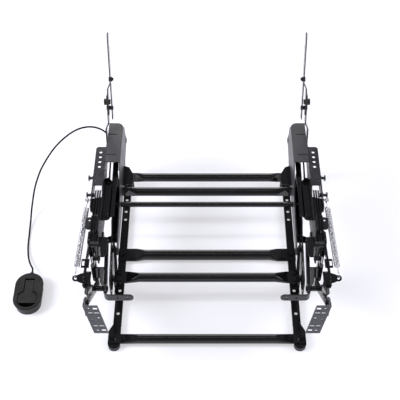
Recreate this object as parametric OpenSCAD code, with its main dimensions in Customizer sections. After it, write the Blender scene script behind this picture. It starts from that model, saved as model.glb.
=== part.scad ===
// Recliner mechanism with a cable release handle, shown closed with the back upright.
// Millimetres. Front faces -Y, +X to the right, +Z up.
// Origin: middle of the four base bolts, on the top face of the two floor rails.

/* [Base frame] */
// distance between the hole lines of the two floor rails
rail_spacing = 480; // [420:1:600]
// distance between the front and rear base bolts
bolt_pitch = 400; // [340:1:440]
// width of a floor rail
rail_width = 22; // [20:0.5:28]
// depth of the lips of a floor rail
rail_lip = 10; // [7:0.5:12]
// diameter of the base bolt holes
base_hole_d = 9; // [6:0.5:10]
// diameter of the front feet
foot_d = 33; // [28:1:38]
// height of the rail face above the floor
foot_height = 14; // [12.5:0.5:20]
// height of the rear towers
tower_height = 86; // [82:1:96]

/* [Cross tubes] */
// diameter of the round cross tubes
tube_d = 25.4; // [20:0.1:27]
// diameter of the middle base tube
middle_tube_d = 30; // [24:0.5:30]
// diameter of the thin cross rod
rod_d = 15; // [12:0.5:17]
// wall of the cross tubes
tube_wall = 1.6; // [1.2:0.1:2.5]
// thickness of a flattened tube end
crimp = 4; // [3:0.5:5]

/* [Sheet metal] */
// thickness of the links and plates
gauge = 3; // [2.5:0.1:3.2]
// pitch from one link plane to the next
layer = 6; // [5.8:0.1:6.5]

/* [Seat rails] */
// height of the seat face above the floor rails
seat_height = 231; // [226:1:240]
// length of a swing link between its pivots
swing_length = 95; // [90:1:100]
// backward lean of the swing links at rest
swing_lean = 22; // [18:1:24]
// diameter of the holes of the side brackets
side_hole_d = 9; // [6:0.5:10]
// pitch of the holes of the side brackets
side_hole_pitch = 18; // [14:1:20]
// diameter of the outer studs
stud_d = 8; // [6:0.5:10]

/* [Back arms] */
// backward lean of the back arms
back_lean = 18.5; // [14:0.5:24]
// length of a back arm from its pivot to its top
back_length = 342; // [300:2:380]
// width of a back arm
back_width = 26; // [22:1:30]

/* [Footrest] */
// length of the main footrest link between its pivots
crank = 135; // [125:1:140]
// length of the long footrest link between its pivots
reach = 245; // [235:1:255]
// height of a footrest plate
plate_height = 123; // [110:1:135]
// width of a footrest plate
plate_width = 36; // [30:1:38]
// inward slant of a footrest plate over its height
plate_slant = 13; // [0:1:16]

/* [Springs] */
// outer diameter of a spring
spring_d = 15; // [13:0.5:18]
// wire diameter of a spring
spring_wire = 2.6; // [2.4:0.1:3.2]

/* [Release handle] */
// length of the handle bezel
handle_length = 122; // [116:1:140]
// width of the handle bezel
handle_width = 77; // [70:1:84]
// height of the handle above the floor
handle_height = 30; // [28:1:36]
// diameter of the cable sheath
cable_d = 5; // [4:0.1:6]

/* [Fits] */
// diameter of the pivot pins
pin_d = 8; // [7:0.5:9]
// radial clearance of a running pivot
run_clear = 0.06; // [0.03:0.01:0.1]
// side clearance between a link and a pin head
side_clear = 0.2; // [0.15:0.05:0.4]
// radial clearance of a pivot that closes a loop of links
loop_clear = 0.6; // [0.6:0.05:1]
// radial clearance of the rear eye of the recline rod
rod_clear = 1.4; // [1.3:0.05:1.8]

/* [Hidden] */
$fn = 64;

pin_r = pin_d / 2;
run_r = pin_r + run_clear;
loop_r = pin_r + loop_clear;
head_r = 7;
head_t = 2;
gap = layer - gauge;
low_t = gap / 2 - 0.2;

// link planes, inner face of each, from the middle outwards
rail_x = rail_spacing / 2;
rail_out = rail_x + rail_width / 2;
x_fix = rail_out;
x_swing = x_fix - layer;
x_web = x_swing - layer;
x_lip = x_web + 38;
x_side = x_lip + gauge;
x_arm = x_lip + layer;
x_flap = x_fix + layer;
x_guide = x_side + layer;
x_main = x_guide + layer;
x_long = x_main + layer;
x_spring = x_long + layer;
side_out = x_side + 29;

// pivots in the side view, as [y, z]
function fwd(a, r) = [-r * cos(a), r * sin(a)];
floor_z = -foot_height;
rear_base = [270, 60];
front_base = [-110, 30];
swing_up = [swing_length * sin(swing_lean), swing_length * cos(swing_lean)];
rear_top = rear_base + swing_up;
front_top = front_base + swing_up;
pa = [-135, seat_height - 67];
pc = pa + fwd(-95, crank);
pe = pc + fwd(43.5, reach);
pd = pc + fwd(72.5, 32);
pf = pe + fwd(72.5, 32);
pg = pc + fwd(144.8, 0.1607 * crank);
pb = pa + fwd(131, 0.2699 * crank);
ph = pd + fwd(43.5, 0.42 * reach);
back_pivot = [243, rear_top[1] + 39.9];
function back_at(d) = back_pivot + [d * sin(back_lean), d * cos(back_lean)];
rod_arm = 18;
recline_half = 16;
rod_drop = rod_arm * sin(swing_lean) / sin(recline_half);
rod_rear = rear_top + rod_arm * [sin(swing_lean), cos(swing_lean)];
rod_front = back_pivot + [rod_drop * sin(recline_half), -rod_drop * cos(recline_half)];
rod_lift = 1.1;
lever_at = [268, 30];
lever_end = [298, 26];
wire_r = 0.9;
wire_x = x_fix + gauge + 15;
spring_rear = [15, seat_height - 10];
spring_front = [-228, seat_height - 10];
spring_xr = side_out + 8.5;
spring_xf = side_out + 17;
tube_front = [-280, 2.5];
tube_middle = [-6, 2.5];
tube_rear = [241, 56];
tube_torque = [-131, 71];
tube_carriage = [129, 122];
rod_at = [70, 136];
plate_y = pf[0] - 16;
plate_top = seat_height + 5;
handle_at = [-489, -138];
paddle_y = 34;

// place a side view outline as a plate whose inner face is at x
module plate(x, t = gauge) {
  translate([x, 0, 0]) rotate([90, 0, 90]) linear_extrude(t) children();
}

// draw for the right side, or mirrored for the left
module side(s) {
  if (s > 0) children();
  else mirror([1, 0, 0]) children();
}

module both() {
  side(1) children();
  side(-1) children();
}

// cylinder along x through a side view point
module shaft(p, x0, x1, r) {
  translate([x0, p[0], p[1]]) rotate([0, 90, 0]) cylinder(h = x1 - x0, r = r);
}

module spot(p, r) {
  translate(p) circle(r);
}

// flat bar outline with round ends
module bar(p, q, r1, r2) {
  u = q - p;
  a = atan2(u[1], u[0]);
  w = acos((r1 - r2) / norm(u));
  n = [cos(a + w), sin(a + w)];
  m = [cos(a - w), sin(a - w)];
  i = r1 - 0.03;
  j = r2 - 0.03;
  spot(p, r1);
  spot(q, r2);
  polygon([p + i * n, q + j * n, q + j * m, p + i * m]);
}

// pivot pin: staked in the plate at x_own, running in the plate at x_run
module pivot(p, x_own, x_run, own_t = head_t) {
  out = x_run > x_own;
  a = out ? x_own - own_t : x_own + gauge + own_t;
  b = out ? x_run + gauge + side_clear + head_t : x_run - side_clear - head_t;
  c0 = out ? x_own + gauge : x_run + gauge + side_clear;
  c1 = out ? x_run - side_clear : x_own;
  h0 = min(a, b);
  h1 = max(a, b);
  shaft(p, h0, h1, pin_r);
  shaft(p, h0, h0 + (out ? own_t : head_t), head_r);
  shaft(p, h1 - (out ? head_t : own_t), h1, head_r);
  shaft(p, c0, c1, head_r);
}

// hex bolt standing on a face at z, head up
module hex_up(x, y, z, af, h, below) {
  translate([x, y, z]) cylinder(h = h, r = af / 2 / cos(30), $fn = 6);
  translate([x, y, z - below]) cylinder(h = below, r = af / 3);
}

// round tube along x with flattened ends; flat from x1 to x2, lying or standing
module crimped_tube(p, d, x0, x1, x2, wide, drop, lying, hole) {
  difference() {
    union() {
      shaft(p, -x0, x0, d / 2);
      both() hull() {
        shaft(p, x0 - 0.5, x0, d / 2);
        crimp_slab(p, x1, x1 + 1, wide, drop, lying);
      }
      both() crimp_slab(p, x1, x2, wide, drop, lying);
    }
    shaft(p, -x0 + 2, x0 - 2, d / 2 - tube_wall);
    both() translate([x0 - 12, p[0], p[1] - d]) cylinder(h = d, r = 2);
    if (hole > 0) both() translate([x2 - 12, p[0], p[1] - d]) cylinder(h = 2 * d, r = hole);
  }
}

module crimp_slab(p, x0, x1, wide, drop, lying) {
  if (lying) translate([x0, p[0] - wide / 2, p[1] + drop - crimp / 2]) cube([x1 - x0, wide, crimp]);
  else translate([x0, p[0] + drop - crimp / 2, p[1] - wide / 2]) cube([x1 - x0, crimp, wide]);
}

// floor rail: shallow channel with a wide round front tab over the foot
module base_rail(s) {
  foot_x = rail_x + 5;
  y0 = -bolt_pitch / 2 - 92;
  color("#1a1a1c") side(s) difference() {
    union() {
      translate([rail_x - rail_width / 2, y0 + 30, -2.5]) cube([rail_width, 545, 2.5]);
      for (x = [rail_x - rail_width / 2, rail_out - 2.5])
        translate([x, y0 + 60, -rail_lip]) cube([2.5, 515, rail_lip]);
      translate([0, 0, -2.5]) linear_extrude(2.5) {
        translate([foot_x, y0]) circle(foot_d / 2);
        polygon([[foot_x - foot_d / 2, y0], [foot_x + foot_d / 2, y0],
          [foot_x + foot_d / 2, y0 + 38], [rail_out, y0 + 58], [rail_x - rail_width / 2, y0 + 58]]);
      }
    }
    for (y = [-bolt_pitch / 2, -126, 125, 155, bolt_pitch / 2])
      translate([rail_x, y, -3]) cylinder(h = 4, r = base_hole_d / 2);
    for (y = [tube_front[0], tube_middle[0], 258])
      translate([rail_x + (y < -200 ? 6 : 0), y, -3]) cylinder(h = 4, r = 4);
    translate([foot_x, y0, -3]) cylinder(h = 4, r = 3);
  }
}

module base_rail_left() { base_rail(-1); }
module base_rail_right() { base_rail(1); }

module feet() {
  y0 = -bolt_pitch / 2 - 92;
  color("#202022") both() {
    translate([rail_x + 5, y0, floor_z]) cylinder(h = foot_height - 2.5, r = foot_d / 2 - 0.5);
    translate([rail_x + 5, y0, -2.5]) cylinder(h = 2.5, r = 3);
    translate([rail_x, 282, floor_z]) cylinder(h = foot_height - 2.5, r = 7);
  }
}

module front_cross_tube() {
  color("#161618") crimped_tube(tube_front, tube_d, rail_x - 58, rail_x - 14, rail_x + 18,
    28, crimp / 2 - tube_front[1], true, 4);
}

module middle_cross_tube() {
  color("#161618") crimped_tube(tube_middle, middle_tube_d, rail_x - 62, rail_x - 40, rail_x + 12,
    42, crimp / 2 - tube_middle[1], true, 4);
}

module rear_cross_tube() {
  color("#161618") crimped_tube(tube_rear, tube_d, rail_x - 52, rail_x - 30, rail_x + 6,
    36, 0, false, 0);
}

// rear tower: front plate with a cut corner, side flange with the pivots and a foot
module rear_tower(s) {
  y0 = tube_rear[0] - crimp / 2;
  color("#1c1c1f") side(s) difference() {
    union() {
      translate([0, y0, 0]) rotate([90, 0, 0]) linear_extrude(gauge)
        polygon([[rail_x - 21, 0], [x_fix + gauge, 0], [x_fix + gauge, tower_height],
          [rail_x, tower_height], [rail_x - 21, tower_height - 18]]);
      plate(x_fix) polygon([[y0 - gauge, 0], [286, 0], [300, 16], [300, tower_height],
        [y0 - gauge, tower_height]]);
      translate([rail_x - 10, y0 - 0.1, 0]) cube([x_fix - rail_x + 10.1, 32, gauge]);
    }
    for (p = [[-12, 16], [-13, 56], [2, 78], [-4, 30]])
      translate([rail_x + p[0], y0 + 1, p[1]]) rotate([90, 0, 0]) cylinder(h = gauge + 2, r = 3);
    translate([rail_x, 258, -1]) cylinder(h = 6, r = 4);
    shaft(rear_base, x_fix - 1, x_fix + gauge + 1, pin_r);
    if (s < 0) shaft(lever_at, x_fix - 1, x_fix + gauge + 1, pin_r);
  }
  color("#2a2a2d") side(s) {
    pivot(rear_base, x_fix, x_swing);
    if (s < 0) pivot(lever_at, x_fix, x_fix + layer);
  }
}

module rear_tower_left() { rear_tower(-1); }
module rear_tower_right() { rear_tower(1); }

// upright lugs on the rails that carry the front swing links
module front_lugs() {
  color("#1c1c1f") both() {
    difference() {
      plate(x_fix) {
        bar(front_base, front_base + [0, -14], 15, 15);
        translate(front_base + [-26, -40]) square([52, 16]);
      }
      shaft(front_base, x_fix - 1, x_fix + gauge + 1, pin_r);
    }
    pivot(front_base, x_fix, x_swing);
  }
}

module base_bolts() {
  color("#2b2b2e") both() {
    hex_up(rail_x + 6, tube_front[0], crimp, 11, 5, crimp + 2.5);
    hex_up(rail_x, tube_middle[0], crimp, 11, 5, crimp + 2.5);
    hex_up(rail_x, 258, gauge, 11, 5, gauge + 2.5);
  }
}

// release cable anchor on the left tower
module cable_bracket() {
  color("#1c1c1f") side(-1) difference() {
    union() {
      plate(x_fix + gauge) polygon([[281, 52], [300, 52], [309, 70], [309, 95], [281, 95]]);
      translate([x_fix + gauge, 287, 92]) cube([26, 22, gauge]);
    }
    translate([wire_x, lever_end[0], 90]) cylinder(h = 8, r = 4);
    shaft([288, 78], x_fix + gauge - 1, x_fix + 2 * gauge + 1, 2.5);
  }
}

// threaded cable end with two nuts on the anchor
module cable_ferrule() {
  color("#3a3a3d") side(-1) translate([wire_x, lever_end[0], 82]) difference() {
    union() {
      cylinder(h = 28, r = 4);
      translate([0, 0, 13]) cylinder(h = 4, r = 6.5);
      translate([0, 0, 6]) cylinder(h = 4, r = 6.5);
    }
    translate([0, 0, -1]) cylinder(h = 30, r = wire_r + 0.3);
  }
}

// cable route, from the ferrule over the arch and along the floor to the handle
cable_path = [
  [-269, 298, 110], [-269, 298, 122], [-271, 297, 140], [-276, 296, 160], [-284, 294, 180],
  [-295, 290, 200], [-308, 284, 218], [-324, 275, 234], [-342, 266, 243], [-362, 259, 243],
  [-384, 255, 232], [-404, 252, 216], [-424, 249, 196], [-442, 246, 174], [-459, 241, 150],
  [-474, 236, 126], [-488, 229, 102], [-499, 220, 78], [-508, 208, 56], [-514, 192, 36],
  [-518, 172, 18], [-520, 150, 5], [-520, 126, -4], [-520, 102, -9], [-519, 78, -11],
  [-518, 54, -11], [-516, 30, -10], [-512, 6, -8], [-506, -18, -5], [-497, -40, -1],
  [-490, -54, 1.5], [-489, -62, 2], [-489, -68, 2]];

function unit(v) = v / norm(v);
function along(i) = unit(cable_path[min(i + 1, len(cable_path) - 1)] - cable_path[max(i - 1, 0)]);
function across(t) = unit(cross(t, abs(t[0]) > 0.9 ? [0, 1, 0] : [1, 0, 0]));
function ring(i) = let (t = along(i), n = across(t), m = cross(t, n))
  [for (k = [0:7]) cable_path[i] + cable_d / 2 * (cos(45 * k) * n + sin(45 * k) * m)];

module release_cable() {
  last = len(cable_path) - 1;
  points = [for (i = [0:last]) each ring(i)];
  wall = [for (i = [0:last - 1]) for (k = [0:7])
    [8 * i + k, 8 * i + (k + 1) % 8, 8 * i + 8 + (k + 1) % 8, 8 * i + 8 + k]];
  color("#111112") polyhedron(points = points, convexity = 10,
    faces = concat([[for (k = [7:-1:0]) k]], wall, [[for (k = [0:7]) 8 * last + k]]));
}

module cable_gland() {
  color("#151516") translate([handle_at[0], handle_at[1] + handle_length / 2 - 4, 2])
    rotate([-90, 0, 0]) {
      cylinder(h = 13, r = 5);
      translate([0, 0, 4]) cylinder(h = 3, r = 7);
    }
}

module stadium(l, w) {
  translate([0, (l - w) / 2]) circle(w / 2);
  translate([0, -(l - w) / 2]) circle(w / 2);
  translate([-w / 2, -(l - w) / 2]) square([w, l - w]);
}

// handle cup that stands on the floor
module handle_housing() {
  color("#131314") translate([handle_at[0], handle_at[1], floor_z]) difference() {
    linear_extrude(handle_height - 5) stadium(handle_length - 8, handle_width - 8);
    translate([0, 0, 2.5]) linear_extrude(handle_height) stadium(handle_length - 13, handle_width - 13);
    translate([0, handle_length / 2, 2 + foot_height]) rotate([90, 0, 0]) cylinder(h = 14, r = 5);
  }
}

// T outline of the paddle: stem to the rear, wide grip with cut shoulders, grown by g
module tee(g) {
  translate([-11.5 - g, -4]) square([23 + 2 * g, paddle_y + 4]);
  polygon([[-25 - g, -37 - g], [25 + g, -37 - g], [25 + g, -11 + g], [17 + g, -3 + g],
    [-17 - g, -3 + g], [-25 - g, -11 + g]]);
}

// bezel with the T shaped paddle window and the finger recess
module handle_face() {
  h = handle_height;
  color("#161617") translate([handle_at[0], handle_at[1], floor_z]) difference() {
    union() {
      translate([0, 0, h - 5]) linear_extrude(3.5) stadium(handle_length, handle_width);
      translate([0, 0, h - 5]) linear_extrude(5) stadium(handle_length - 3, handle_width - 3);
      for (x = [-16.5, 13.5]) translate([x, paddle_y - 6, h - 15]) cube([3, 12, 11]);
    }
    translate([0, 0, h - 10]) linear_extrude(12) tee(1.6);
    translate([-13.1, paddle_y - 1, h - 10]) cube([26.2, 8.4, 12]);
    translate([0, 0, h - 10]) linear_extrude(12) intersection() {
      stadium(handle_length - 18, handle_width - 18);
      translate([-40, -70]) square([80, 34]);
    }
    translate([-20, paddle_y, h - 11]) rotate([0, 90, 0]) cylinder(h = 40, r = 2);
  }
}

module paddle_pin() {
  color("#8a8c90") translate([handle_at[0] - 16.5, handle_at[1] + paddle_y, floor_z + handle_height - 11])
    rotate([0, 90, 0]) cylinder(h = 33, r = 2);
}

// paddle: T shaped grip, round rear end about the pin and a finger lip at the front
module release_paddle() {
  h = handle_height;
  color("#0f0f10") translate([handle_at[0], handle_at[1], floor_z]) difference() {
    union() {
      translate([0, 0, h - 6]) linear_extrude(4) tee(0);
      translate([-25, -37, h - 16]) cube([50, 3, 11]);
      translate([-11.5, paddle_y, h - 11]) rotate([0, 90, 0]) cylinder(h = 23, r = 9);
    }
    translate([-20, paddle_y, h - 11]) rotate([0, 90, 0]) cylinder(h = 40, r = 2 + run_clear);
  }
}

// lever pulled by the cable, with a hook end towards the tower plate
module release_lever() {
  u = unit(lever_end - lever_at);
  color("#26262a") side(-1) difference() {
    union() {
      plate(x_fix + layer) bar(lever_at, lever_end, 10, 7.5);
      plate(x_fix + layer) bar(lever_at, lever_at + [-26, 10], 10, 6);
      plate(x_fix + layer) translate(lever_at + [-32, 10]) square([10, 14]);
      shaft(lever_at, x_fix + layer, x_fix + layer + gauge, 10);
      shaft(lever_end, x_fix + layer, x_fix + layer + gauge, 7.5);
    }
    shaft(lever_at, x_fix + layer - 1, x_fix + layer + gauge + 1, run_r);
    plate(x_fix + layer - 1, gauge + 2) bar(lever_end - 1.5 * u, lever_end + 1.5 * u, 2.81, 2.8);
  }
}

// inner wire of the cable with its cross barrel
module release_wire() {
  color("#9a9ca0") side(-1) {
    shaft(lever_end, x_fix + layer - 1.5, wire_x + 3, 2.2);
    translate([wire_x, lever_end[0], lever_end[1]]) cylinder(h = 74, r = wire_r);
  }
}

// front swing link with the ear that carries the torque tube
module front_swing(s) {
  t = tube_torque;
  z = t[1] - crimp / 2;
  color("#1c1c1f") side(s) difference() {
    union() {
      plate(x_swing) {
        bar(front_base, front_top, 13, 12);
        polygon([front_base + [-12, 4], front_top + [-8, 8], [t[0] - 18, z + 2], [t[0] - 18, z - gauge - 4]]);
      }
      translate([x_swing - 22, t[0] - 19, z - gauge]) cube([22.1, 38, gauge]);
    }
    shaft(front_base, x_swing - 1, x_swing + gauge + 1, run_r);
    shaft(front_top, x_swing - 1, x_swing + gauge + 1, run_r);
    for (y = [t[0] - 11, t[0] + 11])
      translate([x_swing - 11, y, z - gauge - 1]) cylinder(h = gauge + 2, r = 3);
  }
}

module front_swing_left() { front_swing(-1); }
module front_swing_right() { front_swing(1); }

module front_torque_tube() {
  color("#161618") difference() {
    crimped_tube(tube_torque, tube_d, x_swing - 62, x_swing - 30, x_swing - 0.5, 36, 0, true, 0);
    both() for (y = [tube_torque[0] - 11, tube_torque[0] + 11])
      translate([x_swing - 11, y, tube_torque[1] - 10]) cylinder(h = 20, r = 3);
  }
}

module torque_bolts() {
  color("#2b2b2e") both() for (y = [tube_torque[0] - 11, tube_torque[0] + 11])
    hex_up(x_swing - 11, y, tube_torque[1] + crimp / 2, 9, 4, crimp + gauge);
}

// rear swing link, carried past its top pivot to the recline rod
module rear_swing(s) {
  color("#1c1c1f") side(s) difference() {
    plate(x_swing) bar(rear_base, rod_rear, 12.5, 10.5);
    shaft(rear_base, x_swing - 1, x_swing + gauge + 1, run_r);
    shaft(rear_top, x_swing - 1, x_swing + gauge + 1, pin_r + 0.3);
    shaft(rod_rear, x_swing - 1, x_swing + gauge + 1, pin_r);
  }
  color("#2a2a2d") side(s) pivot(rod_rear, x_swing, x_fix);
}

module rear_swing_left() { rear_swing(-1); }
module rear_swing_right() { rear_swing(1); }

// short rod that tips the back as the seat glides
module recline_rod(s) {
  q = rod_rear + [0, rod_lift];
  color("#1a1a1d") side(s) difference() {
    union() {
      plate(x_fix) bar(q, rod_front, 11, 10);
      shaft(q, x_fix, x_fix + gauge, 11);
      shaft(rod_front, x_fix, x_fix + gauge, 10);
    }
    shaft(rod_front, x_fix - 1, x_fix + gauge + 1, run_r);
    shaft(q, x_fix - 1, x_fix + gauge + 1, pin_r + rod_clear);
  }
}

module recline_rod_left() { recline_rod(-1); }
module recline_rod_right() { recline_rod(1); }

// seat rail: long web, boxed rear end with two slots and the lip that holds the back arm
module seat_rail(s) {
  h = seat_height;
  color("#5c5b61") side(s) difference() {
    union() {
      plate(x_web) {
        polygon([[-78, 105], [60, 104], [160, 104], [300, 134], [312, 150], [300, h - 22], [276, h], [144, h],
          [62, 166], [-76, 132]]);
        spot(front_top, 14);
        spot(rear_top, 14);
      }
      translate([x_web, 144, h - gauge]) linear_extrude(gauge) {
        square([x_side - x_web, 132]);
        translate([18, 131]) square([x_side - x_web - 18, 19]);
        intersection() {
          translate([18, 132]) circle(18);
          translate([-1, 131]) square([20, 30]);
        }
      }
      translate([x_web, -40, 104]) cube([15, 200, gauge]);
      plate(x_lip) {
        polygon([[200, h], [274, h], [274, back_pivot[1] + 5], [254, back_pivot[1] - 1],
          [232, back_pivot[1] - 1], [200, h - 26]]);
        spot(back_pivot, 12);
      }
    }
    for (y = [169, 247]) translate([x_web + 14, y, h - 1.6]) cube([x_side - x_web, 4, 2]);
    shaft(back_pivot, x_lip - 1, x_lip + gauge + 1, pin_r);
    shaft(front_top, x_web - 1, x_web + gauge + 1, pin_r);
    shaft(rear_top, x_web - 1, x_web + gauge + 1, pin_r);
    shaft(rod_at, x_web - 1, x_web + gauge + 1, rod_d / 2);
    for (y = [20, 180, 230]) shaft([y, 140], x_web - 1, x_web + gauge + 1, 4);
  }
  color("#2a2a2d") side(s) {
    pivot(back_pivot, x_lip, x_arm);
    pivot(front_top, x_web, x_swing);
    pivot(rear_top, x_web, x_swing);
  }
}

module seat_rail_left() { seat_rail(-1); }
module seat_rail_right() { seat_rail(1); }

// side bracket: inner plate with the footrest pivots, top face with holes, outer flange
module side_bracket(s) {
  h = seat_height;
  color("#4c4b51") side(s) difference() {
    union() {
      plate(x_side) {
        spot(pa, 14);
        spot(pb, 14);
        spot(rod_at, 15);
        polygon([pa + [-2, -14], [50, 128], [90, 128], [110, 172], [200, 190], [200, h], [59, h],
          [45, h - 16], [-40, h - 18], [-52, h], [-92, h], pb + [10, 12], pb + [-12, 7], pa + [-13, 5]]);
      }
      translate([x_side, 59, h - gauge]) linear_extrude(gauge) {
        square([side_out - x_side, 133]);
        square([side_out - x_side - 8, 141]);
        translate([side_out - x_side - 8, 133]) circle(8);
      }
      translate([x_side, -92, h - gauge]) linear_extrude(gauge) {
        square([25, 40]);
        translate([0, 8]) square([33, 24]);
        for (y = [8, 32]) translate([25, y]) circle(8);
      }
      translate([x_side + 23, -80, h]) cylinder(h = 1.2, r = 7);
      translate([x_side, 0, h - 22]) linear_extrude(gauge)
        polygon([[0, -40], [18, -40], [side_out - x_side - 1, -10], [side_out - x_side - 1, 26], [0, 34]]);
      plate(side_out - gauge) polygon([[-18, h - 22], [40, h - 32], [192, h - 40], [192, h], [-18, h]]);
    }
    translate([x_side + 25, -62, h - 5]) cylinder(h = 8, r = 3);
    for (i = [0:3]) translate([x_side + 15, 126 + side_hole_pitch * i, h - 5])
      cylinder(h = 8, r = side_hole_d / 2);
    translate([x_side + 22, 75, h - 5]) cylinder(h = 8, r = 2.5);
    shaft(pa, x_side - 1, x_side + gauge + 1, pin_r);
    shaft(pb, x_side - 1, x_side + gauge + 1, pin_r);
    shaft(rod_at, x_side - 1, x_side + gauge + 1, rod_d / 2);
    for (y = [36, 97]) shaft([y, h - 15], side_out - gauge - 1, side_out + 1, stud_d / 2);
    shaft(spring_rear, side_out - gauge - 1, side_out + 1, 3);
  }
  color("#2a2a2d") side(s) {
    pivot(pa, x_side, x_main);
    pivot(pb, x_side, x_spring);
  }
}

module side_bracket_left() { side_bracket(-1); }
module side_bracket_right() { side_bracket(1); }

module rear_torque_tube() {
  color("#161618") crimped_tube(tube_carriage, tube_d, x_web - 40, x_web - 8, x_web, 34, 0, false, 0);
}

module cross_rod() {
  color("#161618") shaft(rod_at, -x_side - gauge, x_side + gauge, rod_d / 2);
}

// headed studs on the outer flange for the arm boards
module outer_studs() {
  h = seat_height - 15;
  color("#1b1b1d") both() for (y = [36, 97]) {
    shaft([y, h], side_out - gauge, side_out + 14, stud_d / 2);
    shaft([y, h], side_out + 10.5, side_out + 14, stud_d / 2 + 4);
    shaft([y, h], side_out, side_out + 2.5, stud_d / 2 + 3);
    shaft([y, h], side_out - gauge - 4.5, side_out - gauge, stud_d / 2 + 1.6);
  }
}

module spring_pins() {
  color("#8d8f94") both() {
    shaft(spring_rear, side_out - gauge, spring_xr + 6, 3);
    shaft(spring_rear, spring_xr + 3.5, spring_xr + 6, 5);
  }
}

// skewed front straps, rear gussets and stays between the seat rail web and the side bracket
module spacer_straps() {
  xa = x_web + gauge;
  w = x_side - xa;
  color("#242427") both() {
    translate([xa, 0, 122]) linear_extrude(26) {
      polygon([[0, -46], [w, -62], [w, -62 + gauge], [0, -46 + gauge]]);
      translate([0, -46]) square([gauge, 22]);
      translate([w - gauge, -62]) square([gauge, 26]);
    }
    translate([xa, 100, 0]) rotate([90, 0, 0]) linear_extrude(gauge)
      polygon([[0, 112], [w, 142], [w, seat_height - 22], [w - 10, seat_height - 16], [16, seat_height - 34],
        [0, seat_height - 62]]);
    for (x = [x_flap + 2, x_flap + 12]) plate(x)
      polygon([[100, 172], [100, 190], [196, seat_height - 20], [204, seat_height - gauge],
        [214, seat_height - gauge], [214, seat_height - 28]]);
  }
}

// strap stepped sideways, standing on the back line
module stepped(xa, xb, d0, d1, d2, d3, w) {
  translate([0, back_pivot[0], back_pivot[1]]) rotate([-back_lean, 0, 0]) rotate([90, 0, 0])
    translate([0, 0, -w / 2]) linear_extrude(w)
      polygon([[xa, d0], [xa, d1], [xb, d2], [xb, d3], [xb + gauge, d3], [xb + gauge, d2],
        [xa + gauge, d1], [xa + gauge, d0]]);
}

// lower back arm with the pivot and the recline pin
module back_arm(s) {
  xt = x_arm - 8;
  color("#1f1f22") side(s) difference() {
    union() {
      stepped(x_arm, xt, 0, 62, 76, 165, back_width);
      shaft(back_pivot, x_arm, x_arm + gauge, back_width / 2 - 0.03);
      plate(x_arm) bar(back_pivot, rod_front, back_width / 2 - 1, 10);
    }
    shaft(back_pivot, x_arm - 1, x_arm + gauge + 1, run_r);
    shaft(rod_front, x_arm - 1, x_arm + gauge + 1, pin_r);
    for (d = [122, 140]) shaft(back_at(d), xt - 1, xt + gauge + 1, 4);
  }
  color("#2a2a2d") side(s) pivot(rod_front, x_arm, x_fix);
}

module back_arm_left() { back_arm(-1); }
module back_arm_right() { back_arm(1); }

// upper tongue that plugs the backrest on, bent inwards at the kink
module back_tongue(s) {
  xt = x_arm - 8 - gauge;
  w = back_width - 2;
  color("#1f1f22") side(s) difference() {
    union() {
      stepped(xt, xt - 9, 104, 182, 200, back_length - w / 2, w);
      stepped(xt - 9, xt - 9, 90, 120, 160, 202, w - 6);
      shaft(back_at(back_length - w / 2), xt - 9, xt - 9 + gauge, w / 2 - 0.03);
    }
    shaft(back_at(122), xt - 10, xt + gauge + 1, 4);
    shaft(back_at(140), xt - 1, xt + gauge + 1, 4);
    for (d = [208, 262, 300]) shaft(back_at(d), xt - 10, xt - 8 + gauge, 4);
  }
}

module back_tongue_left() { back_tongue(-1); }
module back_tongue_right() { back_tongue(1); }

module back_bolts() {
  xt = x_arm - 8 - gauge;
  color("#18181a") both() {
    shaft(back_at(208), xt - 16, xt - 9 + gauge, 4);
    shaft(back_at(208), xt - 13, xt - 9, 6.5);
    shaft(back_at(208), xt - 9 + gauge, xt - 6 + gauge, 7);
    shaft(back_at(140), xt, xt + 2 * gauge + 4, 4);
    shaft(back_at(140), xt - 4, xt, 7);
    shaft(back_at(122), xt - 11, xt + 2 * gauge + 2, 4);
    shaft(back_at(122), xt - 11, xt - 9, 6);
    shaft(back_at(122), xt - 9 + gauge, xt, 6);
    shaft(back_at(122), xt + 2 * gauge, xt + 2 * gauge + 2, 6);
  }
}

// black knobs that clamp the tongues
module back_knobs() {
  xt = x_arm - 8 + gauge;
  color("#101011") both() difference() {
    shaft(back_at(140), xt, xt + 8, 9);
    shaft(back_at(140), xt - 1, xt + 4, 4);
    for (a = [0:60:300])
      shaft(back_at(140) + [11.4 * cos(a), 11.4 * sin(a)], xt + 2, xt + 9, 3.6);
  }
}

// main footrest link with a stiffening flange bent inwards along its front edge
module main_link(s) {
  f = pa + [-16, -67];
  color("#1a1a1d") side(s) difference() {
    union() {
      plate(x_main) {
        bar(pa, pc, 13, 12);
        bar(pa, pd, 13, 12);
        bar(pc, pd, 12, 12);
        translate(f) square([12, 46]);
      }
      translate([x_main - 24, f[0], f[1]]) cube([24 + gauge, gauge, 46]);
    }
    shaft(pa, x_main - 1, x_main + gauge + 1, run_r);
    shaft(pc, x_main - 1, x_main + gauge + 1, pin_r);
    shaft(pd, x_main - 1, x_main + gauge + 1, pin_r);
  }
  color("#2a2a2d") side(s) {
    pivot(pc, x_main, x_long);
    pivot(pd, x_main, x_guide, low_t);
  }
}

module main_link_left() { main_link(-1); }
module main_link_right() { main_link(1); }

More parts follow.
